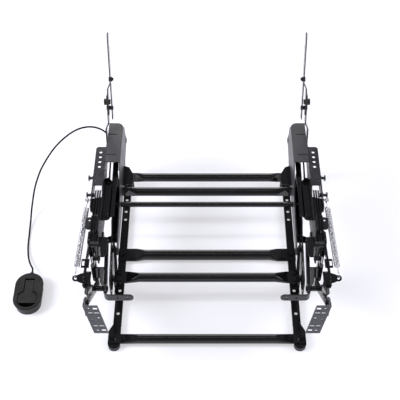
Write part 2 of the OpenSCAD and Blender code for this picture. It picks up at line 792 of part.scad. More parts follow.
// bell crank: long arm down to the long link, short arm with the spring ear and guide loop
module spring_crank(s) {
  tip = spring_front + [-6, -6];
  mid = pb + 0.6 * (tip - pb);
  color("#26262a") side(s) difference() {
    union() {
      plate(x_spring) {
        bar(pb, pg, 13, 12);
        bar(pb, tip, 13, 9);
      }
      translate([0, spring_front[0], spring_front[1]]) rotate([40, 0, 0]) linear_extrude(gauge) {
        intersection() {
          translate([x_spring - 12, -59]) circle(66);
          translate([x_spring - 12, 43]) circle(66);
          translate([x_spring - 12, -40]) square(80);
        }
        translate([spring_xf, -8]) circle(8);
      }
      translate([0, mid[0], spring_front[1] - spring_d / 2 - 5]) linear_extrude(gauge) difference() {
        translate([x_spring - 7, -13]) square([spring_xf - x_spring - 2, 26]);
        translate([x_spring + 5, -8]) square([6, 16]);
      }
    }
    shaft(pb, x_spring - 1, x_spring + gauge + 1, run_r);
    shaft(pg, x_spring - 1, x_spring + gauge + 1, loop_r);
    translate([spring_xf, spring_front[0], spring_front[1]]) rotate([40, 0, 0])
      translate([0, -7.9, -1]) cylinder(h = gauge + 2, r = 3.4);
  }
}

module spring_crank_left() { spring_crank(-1); }
module spring_crank_right() { spring_crank(1); }

module long_link(s) {
  color("#1a1a1d") side(s) difference() {
    plate(x_long) {
      bar(pc, pe, 12, 10);
      bar(pc, pg, 12, 11);
    }
    shaft(pc, x_long - 1, x_long + gauge + 1, run_r);
    shaft(pe, x_long - 1, x_long + gauge + 1, run_r);
    shaft(pg, x_long - 1, x_long + gauge + 1, pin_r);
  }
  color("#2a2a2d") side(s) pivot(pg, x_long, x_spring, low_t);
}

module long_link_left() { long_link(-1); }
module long_link_right() { long_link(1); }

module guide_link(s) {
  color("#1a1a1d") side(s) difference() {
    plate(x_guide) {
      bar(pd, pf, 11, 10);
      spot(ph, 12);
    }
    shaft(pd, x_guide - 1, x_guide + gauge + 1, run_r);
    shaft(pf, x_guide - 1, x_guide + gauge + 1, pin_r + 0.3);
    shaft(ph, x_guide - 1, x_guide + gauge + 1, pin_r);
  }
  color("#2a2a2d") side(s) pivot(ph, x_guide, x_flap);
}

module guide_link_left() { guide_link(-1); }
module guide_link_right() { guide_link(1); }

// footrest bracket: side flange with two pivots and the slanted perforated front plate
module footrest_bracket(s) {
  xo = x_main + gauge + 3;
  k = (plate_slant + 3) / plate_height;
  z0 = plate_top - plate_height;
  color("#5a595f") side(s) difference() {
    union() {
      plate(x_main) {
        bar(pe, pf, 11, 11);
        polygon([pe + [4, -11], pf + [6, 10], [plate_y - gauge, plate_top], [plate_y - gauge, pe[1] - 6],
          [plate_y, pe[1] - 8]]);
      }
      translate([0, plate_y, 0]) rotate([90, 0, 0]) linear_extrude(gauge)
        polygon([[xo - plate_width, plate_top], [xo, plate_top], [xo - k * plate_height, z0],
          [xo - plate_width - k * plate_height, z0]]);
    }
    shaft(pe, x_main - 1, x_main + gauge + 1, pin_r);
    shaft(pf, x_main - 1, x_main + gauge + 1, pin_r);
    translate([0, plate_y + 1, 0]) rotate([90, 0, 0]) linear_extrude(gauge + 2) {
      translate([xo - 11 - 12 * k, plate_top - 12]) circle(4);
      translate([xo - 33 - 12 * k, plate_top - 18]) square([11, 11]);
      translate([xo - 17 - 31 * k, plate_top - 35]) square([10, 7]);
      translate([xo - 33 - 31 * k, plate_top - 35]) square([13, 7]);
      translate([xo - 27 - 54 * k, plate_top - 54]) circle(4);
      translate([xo - 9 - 60 * k, plate_top - 60]) circle(3);
      translate([xo - 17 - 90 * k, plate_top - 94]) square([11, 7]);
      translate([xo - 33 - 90 * k, plate_top - 94]) square([12, 7]);
      translate([xo - 33 - 110 * k, plate_top - 116]) square([11, 11]);
      translate([xo - 12 - 111 * k, plate_top - 111]) circle(4);
    }
  }
  color("#2a2a2d") side(s) {
    pivot(pe, x_main, x_long);
    pivot(pf, x_main, x_guide);
  }
}

module footrest_bracket_left() { footrest_bracket(-1); }
module footrest_bracket_right() { footrest_bracket(1); }

// flap bracket: long arm with a tail, bent round at the front into a tab with two holes
module flap_bracket(s) {
  y1 = ph[0] - 52;
  z1 = ph[1] + 23;
  bend = 12;
  color("#2c2c30") side(s) difference() {
    union() {
      plate(x_flap) {
        bar(ph, [y1 + 27, z1 + 12], 12, 12);
        bar(ph, ph + [110, 50], 12, 8);
        translate([y1 + bend + gauge, z1]) square([13, 24]);
      }
      translate([x_flap - bend, y1 + bend + gauge, z1]) rotate([0, 0, -90])
        rotate_extrude(angle = 90) translate([bend, 0]) square([gauge, 24]);
      translate([0, y1 + gauge, z1]) rotate([90, 0, 0]) linear_extrude(gauge) {
        translate([x_flap - 61, 12]) circle(12);
        translate([x_flap - 61, 0]) square([61 - bend, 24]);
      }
    }
    shaft(ph, x_flap - 1, x_flap + gauge + 1, run_r);
    for (x = [x_flap - 57, x_flap - 33]) translate([x, y1 - 1, z1 + 12]) rotate([-90, 0, 0])
      cylinder(h = gauge + 2, r = 3);
  }
}

module flap_bracket_left() { flap_bracket(-1); }
module flap_bracket_right() { flap_bracket(1); }

// extension spring with a loop at each end
module coil_spring(s) {
  a = [spring_xr, spring_rear[0], spring_rear[1]];
  b = [spring_xf, spring_front[0], spring_front[1]];
  l = norm(b - a);
  w = spring_wire / 2;
  rm = spring_d / 2 - w;
  n = floor((l - 62) / 5);
  color("#c3c4c8") side(s) translate(a) rotate([0, 0, atan((b[0] - a[0]) / (a[1] - b[1]))]) {
    rotate([90, 0, 0]) {
      rotate_extrude() union() {
        for (i = [0:n]) translate([rm, 31 + 5 * i]) circle(w);
        translate([rm - 0.6, 31]) square([1.2, 5 * n]);
      }
      translate([0, 0, 29.5]) cylinder(h = 3, r = rm);
      translate([0, 0, 29.5 + 5 * n]) cylinder(h = 3, r = rm);
    }
    for (y = [-2.5, -l]) translate([0, y, 0]) rotate([0, 90, 0])
      rotate_extrude() translate([7, 0]) circle(1.4);
    translate([0, -9.5, 0]) rotate([90, 0, 0]) cylinder(h = 21.5, r = 1.4);
    translate([0, -l + 6, 0]) rotate([-90, 0, 0]) cylinder(h = l - 5 * n - 37, r = 1.4);
  }
}

module spring_left() { coil_spring(-1); }
module spring_right() { coil_spring(1); }

base_rail_left();
base_rail_right();
feet();
front_cross_tube();
middle_cross_tube();
rear_cross_tube();
rear_tower_left();
rear_tower_right();
front_lugs();
base_bolts();
cable_bracket();
cable_ferrule();
release_cable();
cable_gland();
handle_housing();
handle_face();
paddle_pin();
release_paddle();
release_lever();
release_wire();
front_swing_left();
front_swing_right();
front_torque_tube();
torque_bolts();
rear_swing_left();
rear_swing_right();
recline_rod_left();
recline_rod_right();
seat_rail_left();
seat_rail_right();
side_bracket_left();
side_bracket_right();
rear_torque_tube();
cross_rod();
outer_studs();
spring_pins();
spacer_straps();
back_arm_left();
back_arm_right();
back_tongue_left();
back_tongue_right();
back_bolts();
back_knobs();
main_link_left();
main_link_right();
spring_crank_left();
spring_crank_right();
long_link_left();
long_link_right();
guide_link_left();
guide_link_right();
footrest_bracket_left();
footrest_bracket_right();
flap_bracket_left();
flap_bracket_right();
spring_left();
spring_right();
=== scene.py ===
"""Dress the recliner mechanism: coats, zinc, plastic, wound springs, bent flanges, cable and stage."""

import math

import bmesh
import bpy
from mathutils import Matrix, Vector


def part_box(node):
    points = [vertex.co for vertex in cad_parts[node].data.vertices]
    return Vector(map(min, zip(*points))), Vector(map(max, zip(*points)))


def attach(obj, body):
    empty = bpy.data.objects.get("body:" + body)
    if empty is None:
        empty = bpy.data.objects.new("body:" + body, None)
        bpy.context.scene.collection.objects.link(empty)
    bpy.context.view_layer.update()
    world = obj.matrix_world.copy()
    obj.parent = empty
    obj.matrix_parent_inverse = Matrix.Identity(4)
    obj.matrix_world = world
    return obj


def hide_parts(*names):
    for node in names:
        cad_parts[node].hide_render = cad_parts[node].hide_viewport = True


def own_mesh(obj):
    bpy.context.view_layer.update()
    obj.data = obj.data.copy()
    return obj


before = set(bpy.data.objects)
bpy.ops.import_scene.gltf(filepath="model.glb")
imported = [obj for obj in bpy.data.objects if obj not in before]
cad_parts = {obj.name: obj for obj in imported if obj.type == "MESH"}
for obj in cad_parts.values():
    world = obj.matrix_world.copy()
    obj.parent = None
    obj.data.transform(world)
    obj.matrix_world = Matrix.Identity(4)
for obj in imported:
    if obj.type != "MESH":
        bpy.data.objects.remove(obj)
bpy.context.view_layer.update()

bl_info = {
    "name": "Recliner mechanism",
    "version": (1, 0, 0),
    "blender": (4, 5, 0),
    "location": "View3D > Sidebar > Recliner",
    "description": "Finishes, springs, flanges, cable and stage for a recliner mechanism",
    "category": "Object",
}

MM = 0.001
PHOTO_PX = 400
FLOOR_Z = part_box("feet")[0].z
SIDES = (("left", -1), ("right", 1))

# The cable's route from its ferrule to the handle, in metres.
CABLE_ROUTE = [
    (-0.269, 0.298, 0.110), (-0.269, 0.298, 0.122), (-0.271, 0.297, 0.140), (-0.276, 0.296, 0.160),
    (-0.284, 0.294, 0.180), (-0.295, 0.290, 0.200), (-0.308, 0.284, 0.218), (-0.324, 0.275, 0.234),
    (-0.342, 0.266, 0.243), (-0.362, 0.259, 0.243), (-0.384, 0.255, 0.232), (-0.404, 0.252, 0.216),
    (-0.424, 0.249, 0.196), (-0.442, 0.246, 0.174), (-0.459, 0.241, 0.150), (-0.474, 0.236, 0.126),
    (-0.488, 0.229, 0.102), (-0.499, 0.220, 0.078), (-0.508, 0.208, 0.056), (-0.514, 0.192, 0.036),
    (-0.518, 0.172, 0.018), (-0.520, 0.150, 0.005), (-0.520, 0.126, -0.004), (-0.520, 0.102, -0.009),
    (-0.519, 0.078, -0.011), (-0.518, 0.054, -0.011), (-0.516, 0.030, -0.010), (-0.512, 0.006, -0.008),
    (-0.506, -0.018, -0.005), (-0.497, -0.040, -0.001), (-0.490, -0.054, 0.0015), (-0.489, -0.062, 0.002),
    (-0.489, -0.068, 0.002),
]

# Nodes by finish, and those that a piece made here stands for. Every other node takes the gloss black coat.
SATIN_NODES = ("seat_rail_left", "seat_rail_right")
BRACKET_NODES = ("side_bracket_left", "side_bracket_right")
FOOTREST_NODES = ("footrest_bracket_left", "footrest_bracket_right")
ZINC_NODES = ("spring_pins", "paddle_pin", "release_wire", "cable_ferrule")
PLASTIC_NODES = ("handle_housing", "handle_face", "release_paddle", "cable_gland", "back_knobs", "feet")
REPLACED_NODES = ("release_cable", "spring_left", "spring_right")

# Planes of the right side stack, in millimetres outwards from the middle plane. The left is its mirror.
RAIL_X = 239
STRIP_X = 250.5
FLAP_X = 257
SHELF_X = 280
GUARD_X = 283
MAIN_LINK_X = 292
LONG_LINK_X = 298
SPRING_PIN_X = 317.5
CRANK_EAR_X = 326

# Other places in the side stack, in millimetres: the main link's front edge, and the underside of the flat
# plates between the seat rail and the side shelf.
MAIN_LINK_Y = -151
DECK_Z = 196

# Fineness of round stretches: degrees between the points of an arc, degrees of the points round a spring's
# hook, which is open towards the coil, and the points in each turn of a coil.
ARC_STEP = 15
HOOK_ANGLES = range(-110, 171, 14)
COIL_STEPS = 14

# Area lamps: name, place, width and height in metres, and power in watts. All are aimed at one point.
LAMP_AIM = (0, 0, 0.1)
LAMPS = (
    ("Left softbox", (-2.1, -0.4, 1.6), (1.0, 1.0), 64.0),
    ("Right softbox", (2.2, -0.1, 1.5), (1.2, 1.2), 42.0),
    ("Rear panel", (-0.2, 2.5, 1.15), (1.6, 1.5), 40.0),
    ("Left strip", (-1.0, 0.05, 2.2), (0.25, 0.9), 7.0),
    ("Right strip", (1.0, 0.05, 2.2), (0.25, 0.9), 7.0),
    ("Overhead tube", (0, 0, 2.3), (1.6, 0.04), 2.5),
)
WHITE = "#ffffff"


# Colour and shader helpers

def linear(hex_colour):
    """Turn an sRGB hex colour into linear RGBA."""
    channels = [int(hex_colour[i:i + 2], 16) / 255 for i in (1, 3, 5)]
    return [c / 12.92 if c <= 0.04045 else ((c + 0.055) / 1.055) ** 2.4 for c in channels] + [1.0]


def add_node(tree, kind, settings=None, inputs=None, links=None):
    """Add one node with its settings, input values and links (input name to a source socket)."""
    node = tree.nodes.new(kind)
    for name, value in (settings or {}).items():
        setattr(node, name, value)
    for name, value in (inputs or {}).items():
        node.inputs[name].default_value = value
    for name, socket in (links or {}).items():
        tree.links.new(socket, node.inputs[name])
    return node


def new_material(name):
    """An empty material with only its output node."""
    material = bpy.data.materials.new(name)
    material.use_nodes = True
    tree = material.node_tree
    tree.nodes.clear()
    return material, tree, tree.nodes.new("ShaderNodeOutputMaterial")


def seen_directly(tree):
    """A socket that is 1 for the eye, mirrors and clear pieces, and 0 where a surface only gives light."""
    path = add_node(tree, "ShaderNodeLightPath")
    mirrored = add_node(tree, "ShaderNodeMath", {"operation": "MAXIMUM"},
                        links={0: path.outputs["Is Camera Ray"], 1: path.outputs["Is Glossy Ray"]})
    seen = add_node(tree, "ShaderNodeMath", {"operation": "MAXIMUM"},
                    links={0: mirrored.outputs[0], 1: path.outputs["Is Transmission Ray"]})
    return seen.outputs[0]


# Finishes

def finish_material(name, colours, roughness, cloud_mm, grain_mm, depth,
                    metallic=0.0, stretch=(1, 1, 1), specular=0.5):
    """A finish that drifts between two colours and two roughness values, with a fine ripple on top.

    The clouds are handling marks and uneven film, the grain is orange peel, mould texture or drawing lines.
    A finish that is already made is used again.
    """
    made = bpy.data.materials.get(name)
    if made:
        return made
    # Most of a cloud's values lie between these two.
    cloud_low, cloud_high = 0.3, 0.7
    ripple = 0.5 * MM
    material, tree, output = new_material(name)
    place = add_node(tree, "ShaderNodeTexCoord")
    along = add_node(tree, "ShaderNodeMapping", inputs={"Scale": stretch},
                     links={"Vector": place.outputs["Object"]})
    cloud = add_node(tree, "ShaderNodeTexNoise", inputs={"Scale": 1 / (cloud_mm * MM), "Detail": 4.0},
                     links={"Vector": place.outputs["Object"]})
    grain = add_node(tree, "ShaderNodeTexNoise", inputs={"Scale": 1 / (grain_mm * MM), "Detail": 2.0},
                     links={"Vector": along.outputs["Vector"]})
    tint = add_node(tree, "ShaderNodeMixRGB",
                    inputs={"Color1": linear(colours[0]), "Color2": linear(colours[1])},
                    links={"Fac": cloud.outputs["Fac"]})
    gloss = add_node(tree, "ShaderNodeMapRange",
                     inputs={"From Min": cloud_low, "From Max": cloud_high,
                             "To Min": roughness[0], "To Max": roughness[1]},
                     links={"Value": cloud.outputs["Fac"]})
    bump = add_node(tree, "ShaderNodeBump", inputs={"Strength": depth, "Distance": ripple},
                    links={"Height": grain.outputs["Fac"]})
    shader = add_node(tree, "ShaderNodeBsdfPrincipled",
                      inputs={"Metallic": metallic, "Specular IOR Level": specular},
                      links={"Base Color": tint.outputs["Color"], "Roughness": gloss.outputs["Result"],
                             "Normal": bump.outputs["Normal"]})
    tree.links.new(shader.outputs["BSDF"], output.inputs["Surface"])
    return material


def gloss_coat():
    """Electrophoretic black coat on steel, dipped and baked: near black, with clean streaks on tubes."""
    finish = bpy.context.scene.recliner_finish
    return finish_material("Black dip coat, gloss", (finish.coat_colour, finish.coat_thin),
                           roughness=(0.05, 0.10), cloud_mm=45.0, grain_mm=8.0, depth=0.015)


def satin_painted_sheen_coat():
    """The same coat on wide pressed plates, with a broad soft sheen: its dark grey, lighter than the gloss
    black, is painted sheen.
    """
    finish = bpy.context.scene.recliner_finish
    return finish_material("Black dip coat, satin, painted sheen", (finish.plate_sheen_colour, finish.plate_sheen_thin),
                           roughness=(0.34, 0.46), cloud_mm=30.0, grain_mm=4.0, depth=0.12)


def semi_gloss_painted_sheen_coat():
    """The coat on the hole-row brackets, smoother than the rails: its dark grey, lighter than the gloss
    black but darker than the rails', is painted sheen.
    """
    finish = bpy.context.scene.recliner_finish
    return finish_material("Black dip coat, semi-gloss, painted sheen", (finish.bracket_sheen_colour, finish.bracket_sheen_thin),
                           roughness=(0.20, 0.30), cloud_mm=30.0, grain_mm=5.0, depth=0.08)


def footrest_lit_coat():
    """The coat on the small footrest plates: its paler, more even grey is painted light, for the front light
    on these front-facing plates.
    """
    finish = bpy.context.scene.recliner_finish
    return finish_material("Black dip coat, painted front light", (finish.footrest_lit_colour, finish.footrest_lit_thin),
                           roughness=(0.40, 0.50), cloud_mm=25.0, grain_mm=3.0, depth=0.12)


def bright_zinc():
    """Zinc plate on drawn steel, barrel plated: grey metal with soft reflections and faint drawing lines."""
    finish = bpy.context.scene.recliner_finish
    return finish_material("Zinc plate, barrel plated", (finish.zinc_colour, finish.zinc_dull),
                           roughness=(0.16, 0.30), cloud_mm=9.0, grain_mm=1.6, depth=0.08,
                           metallic=1.0, stretch=(1, 0.15, 1))


def moulded_abs():
    """Black ABS from a spark eroded mould: satin black with a fine even grain, drawn at 1.2 mm to show."""
    finish = bpy.context.scene.recliner_finish
    return finish_material("Black ABS, moulded", (finish.plastic_colour, finish.plastic_worn),
                           roughness=(0.36, 0.46), cloud_mm=25.0, grain_mm=1.2, depth=0.10)


def sheath_pvc():
    """Extruded PVC cable sheath, dusted with talc: plain matt black, with hardly a highlight."""
    finish = bpy.context.scene.recliner_finish
    return finish_material("PVC sheath, extruded", (finish.plastic_colour, finish.plastic_worn),
                           roughness=(0.55, 0.65), cloud_mm=60.0, grain_mm=3.0, depth=0.05, specular=0.08)


def studio_paper(stage):
    """Matt white paper: it keeps the shadows near the object and fades to plain white away from it."""
    material, tree, output = new_material("Studio paper, matt white")
    paper = add_node(tree, "ShaderNodeBsdfDiffuse", inputs={"Color": linear(stage.floor_colour)})
    glow = add_node(tree, "ShaderNodeEmission", inputs={"Color": linear(WHITE), "Strength": 1.0})
    place = add_node(tree, "ShaderNodeTexCoord")
    away = add_node(tree, "ShaderNodeVectorMath", {"operation": "LENGTH"},
                    links={0: place.outputs["Object"]})
    fade = add_node(tree, "ShaderNodeMapRange",
                    inputs={"From Min": stage.fade_near, "From Max": stage.fade_far,
                            "To Min": stage.floor_glow, "To Max": 1.0},
                    links={"Value": away.outputs["Value"]})
    share = add_node(tree, "ShaderNodeMath", {"operation": "MULTIPLY"},
                     links={0: seen_directly(tree), 1: fade.outputs["Result"]})
    mixed = add_node(tree, "ShaderNodeMixShader",
                     links={0: share.outputs[0], 1: paper.outputs[0], 2: glow.outputs[0]})
    tree.links.new(mixed.outputs[0], output.inputs["Surface"])
    return material


def studio_world(stage):
    """Even dim light, with a white wall all round up to the angle where the dim ceiling starts."""
    world = bpy.data.worlds.new("Studio")
    world.use_nodes = True
    tree = world.node_tree
    tree.nodes.clear()
    even = add_node(tree, "ShaderNodeBackground",
                    inputs={"Color": linear(stage.world_colour), "Strength": stage.world_light})
    white = add_node(tree, "ShaderNodeBackground", inputs={"Color": linear(WHITE), "Strength": 1.0})
    direction = add_node(tree, "ShaderNodeTexCoord")
    height = add_node(tree, "ShaderNodeSeparateXYZ", links={"Vector": direction.outputs["Generated"]})
    wall = add_node(tree, "ShaderNodeMapRange",
                    inputs={"From Min": math.sin(stage.wall_top), "From Max": math.sin(stage.ceiling),
                            "To Min": 1.0, "To Max": 0.0},
                    links={"Value": height.outputs["Z"]})
    share = add_node(tree, "ShaderNodeMath", {"operation": "MULTIPLY"},
                     links={0: seen_directly(tree), 1: wall.outputs["Result"]})
    mixed = add_node(tree, "ShaderNodeMixShader",
                     links={0: share.outputs[0], 1: even.outputs[0], 2: white.outputs[0]})
    add_node(tree, "ShaderNodeOutputWorld", links={"Surface": mixed.outputs[0]})
    return world


# Shape helpers

def round_edges(piece, edge):
    """A small radius on the sharp edges of a piece."""
    if edge > 0:
        bevel = piece.modifiers.new("Edge radius", "BEVEL")
        bevel.width = edge
        bevel.segments = 2
        bevel.limit_method = "ANGLE"
        bevel.angle_limit = math.radians(40)
        bevel.use_clamp_overlap = True


def dress(names, material, edge):
    """Give CAD nodes a finish and a small edge radius."""
    for name in names:
        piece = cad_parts[name]
        piece.data.materials.clear()
        piece.data.materials.append(material)
        round_edges(piece, edge)


def tube_from_points(name, points, radius, smooth_path):
    """A round wire along points, as a curve object."""
    curve = bpy.data.curves.new(name, "CURVE")
    curve.dimensions = "3D"
    curve.bevel_depth = radius
    curve.bevel_resolution = 3
    curve.use_fill_caps = True
    if smooth_path:
        spline = curve.splines.new("BEZIER")
        spline.bezier_points.add(len(points) - 1)
        for knot, point in zip(spline.bezier_points, points):
            knot.co = point
            knot.handle_left_type = knot.handle_right_type = "AUTO"
        spline.resolution_u = 6
    else:
        spline = curve.splines.new("POLY")
        spline.points.add(len(points) - 1)
        for knot, point in zip(spline.points, points):
            knot.co = (*point, 1.0)
    piece = bpy.data.objects.new(name, curve)
    bpy.context.collection.objects.link(piece)
    return piece


def to_mesh(piece):
    """Turn a curve object into a mesh object of the same name."""
    name = piece.name
    mesh = bpy.data.meshes.new_from_object(piece.evaluated_get(bpy.context.evaluated_depsgraph_get()))
    bpy.data.objects.remove(piece)
    solid = bpy.data.objects.new(name, mesh)
    bpy.context.collection.objects.link(solid)
    for face in mesh.polygons:
        face.use_smooth = True
    return solid


def turned(angle, first, second):
    """A direction at an angle in degrees from the first of two axes towards the second."""
    return first * math.cos(math.radians(angle)) + second * math.sin(math.radians(angle))


def arc(centre, radius, start, stop):
    """Points of an arc from start up to stop, in degrees, for a round stretch of an outline."""
    return [(centre[0] + radius * math.cos(math.radians(a)), centre[1] + radius * math.sin(math.radians(a)))
            for a in range(start, stop, ARC_STEP)]


# Plates of the side stacks. A plate is its corners in millimetres and the vector of its thickness.

def flat(outline, level, gauge):
    """A plate that lies flat, with its outline in x and y."""
    return [Vector((x, y, level)) for x, y in outline], Vector((0, 0, gauge))


def upright(outline, plane, gauge):
    """A plate that stands along the side, with its outline in y and z."""
    return [Vector((plane, y, z)) for y, z in outline], Vector((gauge, 0, 0))


def facing(outline, depth, gauge):
    """A plate that faces the front, with its outline in x and z."""
    return [Vector((x, depth, z)) for x, z in outline], Vector((0, gauge, 0))


def long_link_flange(size):
    """Upper flange of the long link, on a web that stands in the link's plane."""
    front, rear, level = -248, -198, 191
    inner = LONG_LINK_X - 6
    outer = inner + size.link_flange
    top = level + size.gauge
    return [
        flat([(inner, rear), (outer - 2, rear), (outer + 4, front + 8), (outer, front),
              (inner + 4, front), (inner, front + 8)], level, size.gauge),
        upright([(rear - 2, top), (front, top), (front, 152), (rear - 2, 106)], LONG_LINK_X, size.gauge)]


def long_link_apron(size):
    """Front apron on the lower part of the long link."""
    return [facing([(LONG_LINK_X, 104), (314, 104), (322, 92), (326, 66), (318, 50), (308, 54),
                    (LONG_LINK_X, 80)], -180, size.gauge)]


def main_link_flange(size):
    """Front flange of the main link, on a short web that stands in the link's plane."""
    low, high, outer = 80, 160, 303
    return [
        facing([(MAIN_LINK_X, high), (outer - 4, high), (outer, high - 6), (outer, low + 6),
                (outer - 4, low), (MAIN_LINK_X, low)], MAIN_LINK_Y, size.gauge),
        upright([(MAIN_LINK_Y, low + 2), (MAIN_LINK_Y, high - 10), (-130, high - 10), (-130, low + 2)],
                MAIN_LINK_X, size.gauge)]


def main_link_apron(size):
    """Apron that hangs from the main link's inner flange."""
    inner, outer, top = 268, 284, 98
    low = top - size.apron
    return [facing([(inner, top), (outer, top), (outer, 64), (outer - 6, low), (inner, low + 4)],
                   MAIN_LINK_Y, size.gauge)]


def flap_flange(size):
    """Flange along the flap bracket's tail, which climbs to the rear."""
    tail = Vector((0, 0.921, 0.387))
    tail_normal = Vector((0, -tail.z, tail.y))
    start = Vector((FLAP_X, -206.4, 144))
    length, corner, width = 108, 4, size.flap_flange
    outline = [(0, 0), (length, 0), (length, width - corner), (length - corner, width),
               (2 * corner, width), (0, width - corner)]
    return [([start + a * tail + Vector((b, 0, 0)) for a, b in outline], -size.gauge * tail_normal)]


def web_strip(size):
    """Upright strip beside the seat rail, with a flange along its upper edge."""
    inner, outer = 247, 261
    return [
        upright([(158, 107), (160, DECK_Z), (-38, DECK_Z), (-60, 176), (-120, 162), (-185, 142), (-195, 128),
                 (-195, 84), (-185, 72), (-150, 68), (-100, 80), (-60, 100), (-38, 107)],
                STRIP_X, size.gauge),
        flat([(inner, -20), (outer - 3, -26), (outer, -18), (outer, 166), (outer - 4, 172), (inner, 172)],
             DECK_Z, size.gauge)]


def seat_brace(size):
    """Flat brace from the strip to the side shelf, with a round nose and its bolt head."""
    nose_x, nose_y, nose_radius = 268.5, -24, 11.5
    inner = nose_x - nose_radius
    bolt_radius, bolt_height = 7, 2.5
    return [
        flat([(SHELF_X, 97), (inner + 2, 97), (inner, 60), (inner, -20)]
             + arc((nose_x, nose_y), nose_radius, 180, 275) + [(SHELF_X, -36)], DECK_Z, size.gauge),
        flat(arc((nose_x, nose_y + 2), bolt_radius, 0, 360), DECK_Z + size.gauge, bolt_height)]


def shelf_ribs(size):
    """Three upright ribs on the side shelf, high at the front and low at the rear."""
    first_rib, spacing = 285, 6
    front, rear, foot = -97, 57, 212
    top = foot + 12 + size.rib
    outline = [(front, foot + 10), (front + 7, foot + 2), (-70, foot), (rear, foot), (rear, foot + 2),
               (44, foot + 14), (-44, top - 10), (-54, top), (front + 9, top), (front, top - 8)]
    return [upright(outline, first_rib + i * spacing, size.gauge) for i in range(3)]


def front_tab(size):
    """Flat tab in front of the side shelf, with its corners cut off."""
    inner, front, rear = 258, -156, -92
    return [flat([(SHELF_X, rear), (inner + 4, rear), (inner, rear - 6), (inner, front + 8),
                  (inner + 6, front), (272, front), (276, -122), (SHELF_X, -122)], DECK_Z, size.gauge)]


def stack_guard(size):
    """Guard under the ribs of the side shelf: a side, a front and a lid."""
    front, rear, outer = -88, -46, 316
    low, lid_top, side_top = 104, 170, 214
    return [
        upright([(front, low), (rear, 140), (rear, side_top), (front, side_top)], GUARD_X, size.gauge),
        facing([(GUARD_X, low), (outer - 4, low), (outer, low + 6), (outer, lid_top), (GUARD_X, lid_top)],
               front, size.gauge),
        flat([(GUARD_X, front), (outer, front), (outer, rear - 8), (outer - 8, rear), (GUARD_X, rear)],
             lid_top - size.gauge, size.gauge)]


def tube_gusset(size):
    """Flat gusset between the seat rail and the rear torque tube."""
    inner = 210
    return [flat([(RAIL_X, 138), (inner, 138), (inner, 178), (inner + 14, 206), (RAIL_X, 212)],
                 137, size.gauge)]


# Pieces made of plates, by the body that carries them. Each piece takes the name of its function.
LINK_PIECES = {
    "long_link": (long_link_flange, long_link_apron),
    "main_link": (main_link_flange, main_link_apron),
    "flap": (flap_flange,),
}
CARRIAGE_PIECES = {"carriage": (web_strip, seat_brace, shelf_ribs, front_tab, stack_guard, tube_gusset)}


def press_piece(name, body, sign, plates, edge):
    """One coated steel piece made of plates, which are given for the right side and mirrored by sign."""
    shape = bmesh.new()
    for corners, thickness in plates:
        low, high = ([shape.verts.new((sign * p.x * MM, p.y * MM, p.z * MM)) for p in row]
                     for row in (corners, [corner + thickness for corner in corners]))
        shape.faces.new(low)
        shape.faces.new(high)
        for i in range(len(low)):
            j = (i + 1) % len(low)
            shape.faces.new((low[i], low[j], high[j], high[i]))
    bmesh.ops.recalc_face_normals(shape, faces=shape.faces)
    mesh = bpy.data.meshes.new(name)
    shape.to_mesh(mesh)
    shape.free()
    piece = bpy.data.objects.new(name, mesh)
    bpy.context.collection.objects.link(piece)
    piece.data.materials.append(gloss_coat())
    round_edges(piece, edge)
    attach(piece, body)


def press_pieces(pieces, scene):
    """Make the pieces of each body on both sides."""
    edge = scene.recliner_finish.edge_radius
    for side, sign in SIDES:
        for body, makers in pieces.items():
            for plates in makers:
                press_piece(plates.__name__ + "_" + side, body, sign, plates(scene.recliner_stack), edge)


# Settings

class RECLINER_PG_finish(bpy.types.PropertyGroup):
    """Colours of the finishes and the edge radius of pressed steel."""

    coat_colour: bpy.props.StringProperty(
        name="Coat colour", description="Gloss black coat, sRGB hex", default="#0e0e10")
    coat_thin: bpy.props.StringProperty(
        name="Thin coat", description="Gloss coat where its film is thinner, sRGB hex", default="#141416")
    # Painted sheen: the plate greys are the black coat lightened to stand for the lamps' sheen on wide
    # plates; the thinner-film shade beside it is real tone drift.
    plate_sheen_colour: bpy.props.StringProperty(
        name="Plate colour", description="Satin coat of the wide plates, sRGB hex", default="#2b2b2f")
    plate_sheen_thin: bpy.props.StringProperty(
        name="Thin plate coat", description="Satin coat where its film is thinner, sRGB hex",
        default="#343439")
    # Painted sheen: the bracket greys are the black coat lightened, less than the plates', for the lesser
    # sheen on the up-facing brackets; the thinner-film shade is real tone drift.
    bracket_sheen_colour: bpy.props.StringProperty(
        name="Bracket colour", description="Coat of the hole-row brackets, sRGB hex", default="#202023")
    bracket_sheen_thin: bpy.props.StringProperty(
        name="Thin bracket coat", description="Bracket coat where its film is thinner, sRGB hex",
        default="#28282c")
    # Painted light: the footrest greys are the black coat lightened further, for the front light on these
    # front-facing plates; the thinner-film shade is real tone drift.
    footrest_lit_colour: bpy.props.StringProperty(
        name="Footrest colour", description="Coat of the footrest plates, sRGB hex", default="#424247")
    footrest_lit_thin: bpy.props.StringProperty(
        name="Thin footrest coat", description="Footrest coat where its film is thinner, sRGB hex",
        default="#4c4c52")
    zinc_colour: bpy.props.StringProperty(
        name="Zinc colour", description="Bright zinc plate, sRGB hex", default="#c2c2c7")
    zinc_dull: bpy.props.StringProperty(
        name="Dull zinc", description="Zinc plate where it has dulled, sRGB hex", default="#a2a2a7")
    plastic_colour: bpy.props.StringProperty(
        name="Plastic colour", description="Black plastic, sRGB hex", default="#0a0a0b")
    plastic_worn: bpy.props.StringProperty(
        name="Handled plastic", description="Black plastic where hands polish it, sRGB hex",
        default="#101011")
    edge_radius: bpy.props.FloatProperty(
        name="Edge radius", description="Rounding of sheared steel edges", default=0.4 * MM, min=0.0,
        unit="LENGTH")


